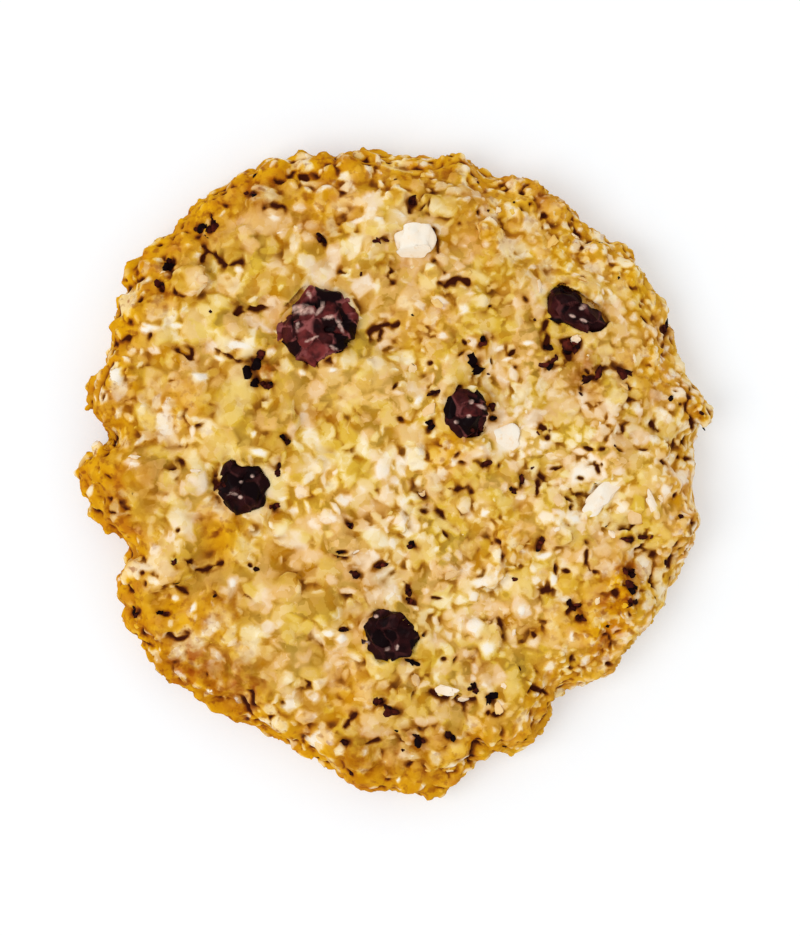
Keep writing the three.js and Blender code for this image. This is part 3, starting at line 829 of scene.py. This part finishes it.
class Skin:
    """The dough's finished skin, on which pieces are placed, with the chips in it."""

    NEARBY = list(product((-1, 0, 1), repeat=3))

    def __init__(self, dough, chips, edge):
        self.points, self.normals = get_points(dough.data), get_normals(dough.data)
        self.inset = edge.inset(self.points)
        self.trees = [self.tree_of(piece.data) for piece in (dough, *chips)]
        self.chips = [np.array(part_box(name)) / MM for name in CHIPS]

    @staticmethod
    def tree_of(mesh):
        """Search tree of a mesh, for rays."""
        polygons = [tuple(polygon.vertices) for polygon in mesh.polygons]
        return BVHTree.FromPolygons(get_points(mesh).tolist(), polygons)

    def over(self, marks):
        """Points and normals of the skin or a chip under marks, seen from above."""
        down = Vector((0, 0, -1))
        points, normals = [], []
        for mark in marks:
            start = Vector((mark.x, mark.y, HIGH_ABOVE))
            hits = [tree.ray_cast(start, down) for tree in self.trees]
            top = max((hit for hit in hits if hit[0]), key=lambda hit: hit[0].z)
            points.append(top[0])
            normals.append(top[1])
        return np.array(points), np.array(normals)

    def is_on_chip(self, point, margin):
        """Whether a point lies on a chip or within a margin of it, seen from above."""
        for low, high in self.chips:
            away = (point - (low + high) / 2) / ((high - low) / 2 + margin)
            if math.hypot(away[0], away[1]) < 1:
                return True
        return False

    def scatter(self, kind):
        """Places over the crown and the side, a spacing apart, most where the dough is crumbly."""
        free = within(self.points, self.normals, SCATTER_LIMITS) & (self.inset > kind.inset)
        chance = crumbliness(self.points) * free
        tries = kind.count * SCATTER["tries"]
        taken = {}
        for i in rng.choice(len(chance), tries, replace=False, p=chance / chance.sum()):
            point = self.points[i]
            cell = tuple((point // kind.spacing).astype(int))
            near = [taken.get(tuple(np.add(cell, step))) for step in self.NEARBY]
            away = [np.linalg.norm(point - self.points[j]) for j in near if j is not None]
            is_apart = min(away, default=kind.spacing) >= kind.spacing
            if is_apart and not self.is_on_chip(point, SCATTER["margin"]):
                taken[cell] = i
            if len(taken) == kind.count:
                break
        chosen = list(taken.values())
        return self.points[chosen], self.normals[chosen]


class Pieces:
    """Chunks of one kind on the skin: marked ones first, then scattered ones."""

    def __init__(self, skin, kind, marks=(), tilt=0.0):
        places, normals = skin.scatter(kind)
        count = len(places)
        low, high = kind.length
        lengths = low + (high - low) * rng.random(count) ** CHUNKS["small"]
        widths = lengths * rng.uniform(*kind.slenderness, count)
        turns = rng.uniform(0, math.pi, count)
        if marks:
            points, facing = skin.over(marks)
            places = np.vstack([points, places])
            normals = np.vstack([facing + [0, 0, CHUNKS["upright"]], normals])
            lengths = np.append([mark.length for mark in marks], lengths)
            widths = np.append([mark.width for mark in marks], widths)
            turns = np.append([math.radians(mark.turn) for mark in marks], turns)
        self.kind = kind
        self.places = places
        self.sizes = np.stack([lengths, widths, kind.flatness * widths], axis=1)
        self.directions = bases(unit(normals + tilt * rng.normal(size=normals.shape)), turns)
        self.count = len(places)

    def shapes(self, ball):
        """Broken chunks, one for each place: uneven balls cut off flat all round, in its size."""
        starts = rng.uniform(-CHUNKS["apart"], CHUNKS["apart"], (self.count, 1, 3))
        spread = (CHUNKS["lumps"] * ball + starts).reshape(-1, 3)
        lumps = noise_at(spread, 1.0).reshape(self.count, -1, 1)
        shapes = ball * (1 + self.kind.ragged * lumps)
        for _ in range(self.kind.cuts):
            plane = unit(rng.normal(size=(self.count, 1, 3)))
            limits = rng.uniform(*CHUNKS["cut"], (self.count, 1, 1))
            over = np.sum(shapes * plane, axis=2, keepdims=True) - limits
            shapes = shapes - np.maximum(over, 0) * plane
        return shapes / np.abs(shapes).max(axis=1, keepdims=True) * self.sizes[:, None, :] / 2

    def join(self, name, edge, tones, fineness=3, crease=40):
        """One object with a chunk at each place, each with its own tone, smooth up to an angle."""
        ball, faces = ball_mesh(fineness)
        middles = self.places - self.kind.sunk * self.directions[:, 2]
        shapes = self.shapes(ball)
        points = np.einsum("npk,nkd->npd", shapes, self.directions) + middles[:, None, :]
        numbers = faces[None] + len(ball) * np.arange(self.count)[:, None, None]
        mesh = bpy.data.meshes.new(name)
        mesh.from_pydata((points.reshape(-1, 3) * MM).tolist(), [], numbers.reshape(-1, 3).tolist())
        golden = edge.browning(self.places)
        # Painted shade: each chunk's tone falls towards its bottom, which also blends its rim into the dough
        heights = 2 * np.clip(shapes[:, :, 2] / self.sizes[:, 2:], 0, 0.5)
        tones = tones[:, None] * (1 - CHUNKS["fade"] + CHUNKS["fade"] * heights)
        set_values(mesh, golden=np.repeat(golden, len(ball)), tone=tones.ravel())
        mesh.shade_smooth()
        mesh.set_sharp_from_angle(angle=math.radians(crease))
        return add_object(name, mesh)


def ball_mesh(detail):
    """Points and triangles of an even ball of radius 1."""
    bpy.ops.mesh.primitive_ico_sphere_add(subdivisions=detail, radius=MM)
    ball = bpy.context.object
    points = get_points(ball.data)
    faces = np.array([tuple(polygon.vertices) for polygon in ball.data.polygons])
    bpy.data.objects.remove(ball)
    return points, faces


def make_oats(skin, edge):
    """Oat flakes that stand out of the dough."""
    pieces = Pieces(skin, OATS, tilt=0.1)
    return pieces.join("oat_flakes", edge, rng.uniform(*OAT_TONES, pieces.count), crease=60)


def make_coconut(skin, edge):
    """Coconut, with the large white pieces first."""
    pieces = Pieces(skin, COCONUT, WHITE_PIECES, tilt=0.06)
    tones = rng.uniform(*COCONUT_TONES, pieces.count)
    tones[:len(WHITE_PIECES)] = [piece.tone for piece in WHITE_PIECES]
    return pieces.join("coconut_shreds", edge, tones, fineness=4, crease=75)


def make_crumbs(skin, edge):
    """Crumbs of dough."""
    pieces = Pieces(skin, CRUMBS, tilt=0.2)
    return pieces.join("dough_crumbs", edge, rng.random(pieces.count))


def clumps(marks):
    """Breaks each mark up into a few smaller ones that lie across it."""
    parts = []
    reach = CLUMP["spread"]
    for mark in marks:
        turn = math.radians(mark.turn)
        for _ in range(CLUMP["parts"]):
            along = mark.length * rng.uniform(-reach, reach)
            across = mark.width * rng.uniform(-reach, reach)
            x = mark.x + along * math.cos(turn) - across * math.sin(turn)
            y = mark.y + along * math.sin(turn) + across * math.cos(turn)
            length = mark.length * rng.uniform(*CLUMP["length"])
            width = mark.width * rng.uniform(*CLUMP["width"])
            parts.append(Mark(x, y, length, width, mark.turn + rng.normal(0, CLUMP["turn"])))
    return parts


def make_bits(skin, edge):
    """Small bits of chocolate, with clumps for the larger ones first."""
    pieces = Pieces(skin, BITS, clumps(DARK_BITS), tilt=0.05)
    return pieces.join("chocolate_bits", edge, rng.random(pieces.count), fineness=2)


# Chocolate chips

def triangle_grid(steps):
    """Grid over a triangle: each point's shares of the three corners, and the small triangles."""
    rows = [(i, j, steps - i - j) for i in range(steps + 1) for j in range(steps + 1 - i)]
    number = {row[:2]: k for k, row in enumerate(rows)}
    faces = []
    for i, j, rest in rows:
        if rest > 0:
            faces.append((number[i, j], number[i + 1, j], number[i, j + 1]))
        if rest > 1:
            faces.append((number[i + 1, j], number[i + 1, j + 1], number[i, j + 1]))
    return np.array(rows) / steps, np.array(faces)


def directions_around(count):
    """Directions that point evenly all round, a little out of order."""
    turns = np.arange(count) * GOLDEN_ANGLE
    heights = 1 - 2 * (np.arange(count) + 0.5) / count
    flat = np.sqrt(1 - heights**2)
    even = np.stack([flat * np.cos(turns), flat * np.sin(turns), heights], axis=1)
    return unit(even + rng.normal(0, CHIP_FACETS["tilt"], even.shape))


def break_faces(points):
    """Cuts points around the origin off at flat facets."""
    planes = directions_around(CHIP_FACETS["count"])
    limits = (points @ planes.T).max(axis=0) * rng.uniform(*CHIP_FACETS["depth"], len(planes))
    for _ in range(CHIP_FACETS["rounds"]):
        for plane, limit in zip(planes, limits):
            points = points - np.maximum(points @ plane - limit, 0)[:, None] * plane
    return points


def ledges_at(points):
    """The ledge at each point of a broken face: its lift, its own value and how far its border is."""
    rows = []
    for point in points:
        place = Vector(point) / CHIP_LEDGES["size"]
        distances, seeds = noise.voronoi(place)
        own = noise.cell_vector(seeds[0] * CHIP_LEDGES["seed"])
        tilt = (own - Vector((0.5, 0.5, 0.5))).dot(place - seeds[0])
        lift = CHIP_LEDGES["depth"] * (own.z - CHIP_LEDGES["level"]) + CHIP_LEDGES["slope"] * tilt
        rows.append((lift, own.x, distances[1] - distances[0]))
    return np.array(rows).T


def make_chip(name):
    """A chip that fills its pocket, with broken faces, pale bloom with painted glints and dark dents with
    painted shade.
    """
    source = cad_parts[name].data
    source.calc_loop_triangles()
    corners = get_points(source)[[tuple(triangle.vertices) for triangle in source.loop_triangles]]
    low, high = corners.min(axis=(0, 1)), corners.max(axis=(0, 1))
    middle, half = (low + high) / 2, (high - low) / 2
    corners = (corners - middle) * (half + CHIP_GROWTH) / half

    shares, faces = triangle_grid(CHIP_STEPS)
    points = break_faces(np.einsum("mk,nkd->nmd", shares, corners).reshape(-1, 3))
    lift, facet, border = ledges_at(points + middle)
    dent = covered(points + middle, DENT_MARKS)
    lift += drift(points + middle, CHIP_RAGGED) - CHIP_LEDGES["dent"] * dent
    points = points + unit(points) * lift[:, None] + middle + CHIPS[name].shift

    numbers = faces[None] + len(shares) * np.arange(len(corners))[:, None, None]
    mesh = bpy.data.meshes.new(name + "_broken")
    mesh.from_pydata((points * MM).tolist(), [], numbers.reshape(-1, 3).tolist())
    set_values(mesh, facet=facet, border=border, dent=dent, bloom=covered(points, BLOOM_MARKS))
    set_values(mesh, brownness=np.full(len(points), CHIPS[name].brownness))

    chip = add_object(name + "_broken", mesh)
    bpy.ops.object.mode_set(mode="EDIT")
    bpy.ops.mesh.select_all(action="SELECT")
    bpy.ops.mesh.remove_doubles(threshold=CHIP_WELD * MM)
    bpy.ops.object.mode_set(mode="OBJECT")
    mesh.shade_smooth()
    mesh.set_sharp_from_angle(angle=math.radians(CHIP_CREASE))
    return chip


# Materials

class Shader:
    """A procedural material that is put together node by node."""

    def __init__(self, name, roughness, specular):
        self.material = bpy.data.materials.new(name)
        self.material.use_nodes = True
        self.tree = self.material.node_tree
        self.surface = self.tree.nodes["Principled BSDF"]
        self.surface.inputs["Roughness"].default_value = roughness
        self.surface.inputs["Specular IOR Level"].default_value = specular
        self.place = self.node("ShaderNodeTexCoord").outputs["Object"]

    def node(self, kind, **inputs):
        """A node with its inputs set or linked."""
        made = self.tree.nodes.new(kind)
        for label, value in inputs.items():
            self.feed(made.inputs[label.replace("_", " ")], value)
        return made

    def feed(self, socket, value):
        """Links a socket to another, or sets its value."""
        if isinstance(value, bpy.types.NodeSocket):
            self.tree.links.new(value, socket)
        else:
            socket.default_value = value

    def noise(self, size, low=0.0, high=1.0, detail=2.0):
        """Noise with features of that size in millimetres: low becomes 0 and high becomes 1."""
        scale = 1 / (size * MM)
        texture = self.node("ShaderNodeTexNoise", Vector=self.place, Scale=scale, Detail=detail)
        return self.spread(texture.outputs["Fac"], low, high)

    def cells(self, size, least, most):
        """A value for each of many uneven cells of that size in millimetres."""
        warp = self.node("ShaderNodeTexNoise", Vector=self.place, Scale=1.5 / (size * MM), Detail=3.0)
        shift = self.tree.nodes.new("ShaderNodeVectorMath")
        shift.operation = "MULTIPLY_ADD"
        self.feed(shift.inputs[0], warp.outputs["Color"])
        self.feed(shift.inputs[1], (size * MM, size * MM, size * MM))
        self.feed(shift.inputs[2], self.place)
        place = shift.outputs["Vector"]
        texture = self.node("ShaderNodeTexVoronoi", Vector=place, Scale=1 / (size * MM))
        return self.spread(texture.outputs["Color"], 0.2, 0.8, least, most)

    def spread(self, value, low, high, least=0.0, most=1.0):
        """Value spread so that low becomes the least and high the most."""
        made = self.node("ShaderNodeMapRange", Value=value, From_Min=low, From_Max=high)
        made.inputs["To Min"].default_value = least
        made.inputs["To Max"].default_value = most
        return made.outputs["Result"]

    def attribute(self, label):
        """A value that the mesh holds for each point."""
        made = self.node("ShaderNodeAttribute")
        made.attribute_name = label
        return made.outputs["Fac"]

    def reckon(self, operation, first, second):
        """A sum or product of two values."""
        made = self.tree.nodes.new("ShaderNodeMath")
        made.operation = operation
        self.feed(made.inputs[0], first)
        self.feed(made.inputs[1], second)
        return made.outputs["Value"]

    def times(self, first, second):
        """Product of two values."""
        return self.reckon("MULTIPLY", first, second)

    def plus(self, first, second):
        """Sum of two values."""
        return self.reckon("ADD", first, second)

    def mix(self, share, first, second):
        """Colour between two others."""
        made = self.tree.nodes.new("ShaderNodeMix")
        made.data_type = "RGBA"
        self.feed(made.inputs["Factor"], share)
        self.feed(made.inputs[6], first)
        self.feed(made.inputs[7], second)
        return made.outputs[2]

    def tint(self, share, colour, by):
        """Colour darkened by another, by some share."""
        made = self.mix(share, colour, by)
        made.node.blend_type = "MULTIPLY"
        return made

    def ramp(self, value, *colours):
        """Colour that passes evenly through several as a value goes from 0 to 1."""
        steps = len(colours) - 1
        colour = colours[0]
        for i in range(steps):
            colour = self.mix(self.spread(value, i / steps, (i + 1) / steps), colour, colours[i + 1])
        return colour

    def bump(self, height, depth):
        """Roughens the surface by a height, with a depth in millimetres."""
        made = self.node("ShaderNodeBump", Height=height, Distance=depth * MM)
        self.feed(self.surface.inputs["Normal"], made.outputs["Normal"])

    def colour(self, value):
        """Sets the surface's colour, and gives the finished material."""
        self.feed(self.surface.inputs["Base Color"], value)
        return self.material


def dough_material():
    """Baked dough: a mosaic of straw and peach flakes, golden at the edge, with painted shade in its
    crevices.
    """
    look = Shader("baked_dough", roughness=0.8, specular=0.05)
    tone = look.plus(look.attribute("tone"), look.cells(**TONE_CELLS))
    ground = look.mix(look.noise(5.0, 0.4, 0.6), MUSTARD, KHAKI)
    straw = look.ramp(tone, ground, STRAW_TAN, STRAW, PALE_STRAW)
    peach = look.ramp(tone, ground, PEACH_TAN, PEACH, PALE_PEACH)
    warmth = look.plus(look.attribute("warmth"), look.cells(**WARMTH_CELLS))
    colour = look.mix(look.spread(warmth, 0.0, 1.0), straw, peach)
    gold = look.ramp(tone, DEEP_GOLD, GOLD, PALE_GOLD)
    gold = look.mix(look.noise(2.6, 0.5, 0.7, detail=3.0), gold, ORANGE)
    golden = look.attribute("golden")
    crusty = look.times(golden, look.spread(tone, **GOLD_LOSS))
    colour = look.mix(crusty, colour, gold)
    flecks = look.times(look.times(golden, FLECK_SHARE), look.noise(0.9, 0.54, 0.68))
    colour = look.mix(flecks, colour, RUSSET)
    brown = look.times(look.attribute("brown"), look.noise(2.0, 0.34, 0.56, detail=3.0))
    colour = look.tint(brown, colour, TOAST)
    rust = look.times(look.attribute("rust"), look.noise(1.3, 0.38, 0.62, detail=3.0))
    colour = look.tint(rust, colour, RUST)
    colour = look.mix(look.spread(tone, *WHITE_TONES), colour, WHITE)
    # Painted shade: hollows turn toasted, then brown, then near black where deepest
    hollow = look.attribute("hollow")
    colour = look.tint(look.spread(hollow, *TOASTED_DEPTHS), colour, TOAST)
    colour = look.mix(look.spread(hollow, *BROWN_DEPTHS), colour, look.mix(golden, UMBER, RUSSET))
    colour = look.mix(look.spread(hollow, *DARK_DEPTHS), colour, CREVICE)
    look.bump(look.noise(0.8), 0.03)
    return look.colour(colour)


def oat_material():
    """Oat flakes, from tan to pale cream, golden at the edge."""
    look = Shader("oat_flake", roughness=0.8, specular=0.05)
    tone = look.attribute("tone")
    colour = look.ramp(tone, PEACH_TAN, PEACH, PALE_STRAW)
    colour = look.mix(look.noise(1.0, 0.55, 0.8, detail=3.0), colour, PEACH_TAN)
    colour = look.mix(look.attribute("golden"), colour, look.mix(tone, GOLD, PALE_GOLD))
    look.bump(look.noise(0.4, detail=3.0), 0.06)
    return look.colour(colour)


def coconut_material():
    """Coconut, from cream to white, a little toasted."""
    look = Shader("coconut", roughness=0.6, specular=0.1)
    colour = look.mix(look.attribute("tone"), PEACH, WHITE)
    colour = look.mix(look.noise(1.4, 0.45, 0.7, detail=4.0), colour, PALE_PEACH)
    colour = look.mix(look.noise(0.7, 0.58, 0.8, detail=3.0), colour, PEACH)
    colour = look.mix(look.times(look.attribute("golden"), 0.4), colour, PALE_GOLD)
    look.bump(look.noise(0.4, detail=3.0), 0.06)
    return look.colour(colour)


def crumb_material():
    """Crumbs of baked dough, from golden brown to cream."""
    look = Shader("dough_crumb", roughness=0.8, specular=0.05)
    tone = look.attribute("tone")
    colour = look.ramp(tone, MUSTARD, STRAW, PALE_PEACH)
    colour = look.mix(look.attribute("golden"), colour, look.mix(tone, GOLD, PALE_GOLD))
    look.bump(look.noise(0.4, detail=3.0), 0.06)
    return look.colour(colour)


def bit_material():
    """Small bits of dark chocolate, from near black to brown."""
    look = Shader("chocolate_bit", roughness=0.5, specular=0.03)
    brown = look.times(look.spread(look.attribute("tone"), 0.1, 0.8), look.noise(0.8, 0.3, 0.65))
    colour = look.mix(brown, DARK_CHOCOLATE, RED_CHOCOLATE)
    look.bump(look.noise(0.5, detail=3.0), 0.1)
    return look.colour(colour)


def chip_material():
    """Dark chocolate with mauve ridges, pale bloom with painted glints and near black painted shade in its
    dents, browner on some chips.
    """
    look = Shader("chocolate_chip", roughness=0.4, specular=0.04)
    brownness = look.attribute("brownness")
    # Facet tone: a random brown for each facet, partly painted shade that stands for facets catching the
    # light differently
    facet = look.spread(look.attribute("facet"), 0.1, 0.9)
    facet = look.times(facet, look.noise(1.5, 0.3, 0.6, detail=3.0))
    colour = look.mix(look.times(facet, brownness), DARK_CHOCOLATE, BROWN_CHOCOLATE)
    ridge = look.spread(look.attribute("border"), 0.14, 0.04)
    ridge = look.times(ridge, look.noise(1.8, 0.45, 0.6))
    colour = look.mix(look.times(ridge, brownness), colour, MAUVE)
    # Painted shade: near black in the dents
    colour = look.mix(look.attribute("dent"), colour, DARK_CHOCOLATE)
    # Painted glints, with some pale bloom and a pale crumb
    bloom = look.times(look.attribute("bloom"), look.noise(0.8, 0.25, 0.75))
    colour = look.mix(bloom, colour, BLOOM)
    look.bump(look.noise(0.7, detail=3.0), 0.1)
    return look.colour(colour)


# Floor, light and camera

def make_floor():
    """Plain pale floor."""
    bpy.ops.mesh.primitive_plane_add(size=FLOOR_SIZE)
    floor = bpy.context.object
    floor.name = "floor"
    floor.location.z = -FLOOR_DROP * MM
    look = Shader("floor", roughness=0.9, specular=0.1)
    look.surface.inputs["Emission Color"].default_value = FLOOR_TINT
    look.surface.inputs["Emission Strength"].default_value = FLOOR_GLOW
    floor.data.materials.append(look.colour(FLOOR_GREY))


def add_light(name, place, size, power):
    """Square soft light that faces the cookie."""
    lamp = bpy.data.lights.new(name, "AREA")
    lamp.size = size
    lamp.energy = power
    light = bpy.data.objects.new(name, lamp)
    light.location = place
    light.rotation_euler = (-Vector(place)).to_track_quat("-Z", "Y").to_euler()
    bpy.context.scene.collection.objects.link(light)


def make_stage():
    """Floor, soft light from the left and a bright surround."""
    make_floor()
    add_light("key", KEY_PLACE, KEY_SIZE, KEY_POWER)
    world = bpy.data.worlds.new("surround")
    world.use_nodes = True
    world.node_tree.nodes["Background"].inputs["Color"].default_value = (1, 1, 1, 1)
    world.node_tree.nodes["Background"].inputs["Strength"].default_value = SURROUND
    bpy.context.scene.world = world
    bpy.context.scene.view_settings.view_transform = "Standard"


def make_camera():
    """Camera straight above, with the cookie where the photograph has it."""
    lens = bpy.data.cameras.new("camera")
    lens.sensor_fit = "VERTICAL"
    lens.sensor_height = SENSOR_HEIGHT
    lens.lens = FOCAL_LENGTH
    camera = bpy.data.objects.new("camera", lens)
    distance = VIEW_HEIGHT * PIXEL * FOCAL_LENGTH / SENSOR_HEIGHT
    camera.location = Vector((*VIEW_CENTRE, VIEW_PLANE + distance)) * MM
    bpy.context.scene.collection.objects.link(camera)
    bpy.context.scene.camera = camera


def dress(piece, material, slot, *nodes):
    """Gives a piece its material, joins it to the cookie and hides the solids that it stands for."""
    piece.data.materials.append(material)
    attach(piece, "root")
    if nodes:
        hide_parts(*nodes)


make_camera()
make_stage()

dough, edge = make_dough()
chips = [make_chip(name) for name in CHIPS]
skin = Skin(dough, chips, edge)
dress(dough, dough_material(), "dough", "dough")
dress(make_oats(skin, edge), oat_material(), "dough")
dress(make_coconut(skin, edge), coconut_material(), "dough")
dress(make_crumbs(skin, edge), crumb_material(), "dough")
dress(make_bits(skin, edge), bit_material(), "chocolate")
chocolate = chip_material()
for chip, chip_name in zip(chips, CHIPS):
    dress(chip, chocolate, "chocolate", chip_name)
